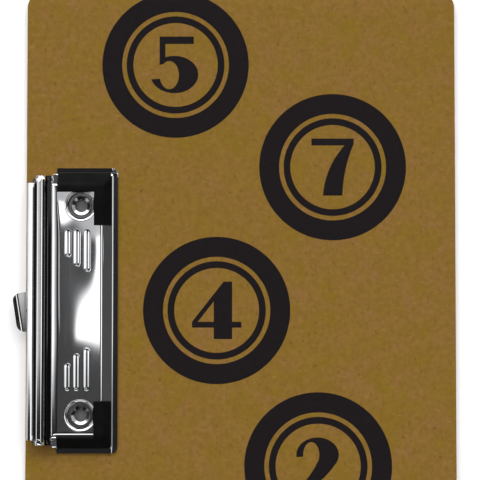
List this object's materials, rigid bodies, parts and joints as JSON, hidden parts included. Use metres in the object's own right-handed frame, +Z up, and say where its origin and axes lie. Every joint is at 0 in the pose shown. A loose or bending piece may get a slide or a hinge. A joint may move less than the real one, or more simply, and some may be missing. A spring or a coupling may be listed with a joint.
{
  "type": "clipboard",
  "caption": "Flat brown hardboard plate in landscape format with black printed rings and a low sprung metal clip with a sliding hang tab on its left edge.",
  "frame": {"origin": "middle of the board's back face, on which it lies", "axes": "+X from the clip across the board, +Y along the clip, +Z up out of the printed face"},
  "size_m": [0.2368, 0.345, 0.0114],
  "materials": {
    "hardboard": "smooth-faced tempered hardboard",
    "ink": "flat black screen print",
    "chrome": "bright nickel-chrome plate",
    "zinc_steel": "zinc plated",
    "spring_steel": "oiled spring wire",
    "black_rubber": "matt moulded"
  },
  "bodies": {
    "board_assembly": {"board": "hardboard", "printed_rings": "ink", "base_plate": "zinc_steel", "rivet_upper": "chrome", "rivet_lower": "chrome", "pivot_rod": "zinc_steel", "spring_upper": "spring_steel", "spring_lower": "spring_steel"},
    "jaw": {"jaw_plate": "chrome", "corner_grip_upper": "black_rubber", "corner_grip_lower": "black_rubber"},
    "tab": {"hang_tab": "chrome"}
  },
  "joints": [
    {"name": "jaw_hinge", "type": "hinge", "parent": "board_assembly", "child": "jaw", "pos_m": [-0.1073, 0, 0.0074], "axis": [0, -1, 0], "range_deg": [0, 20], "stiffness_Nm_per_rad": 0.2, "springref_deg": -85.94, "deforming": ["spring_upper", "spring_lower"]},
    {"name": "hang_tab_slide", "type": "slide", "parent": "board_assembly", "child": "tab", "axis": [-0.9877, -0.1564, 0], "range_m": [-0.0025, 0.008]}
  ]
}
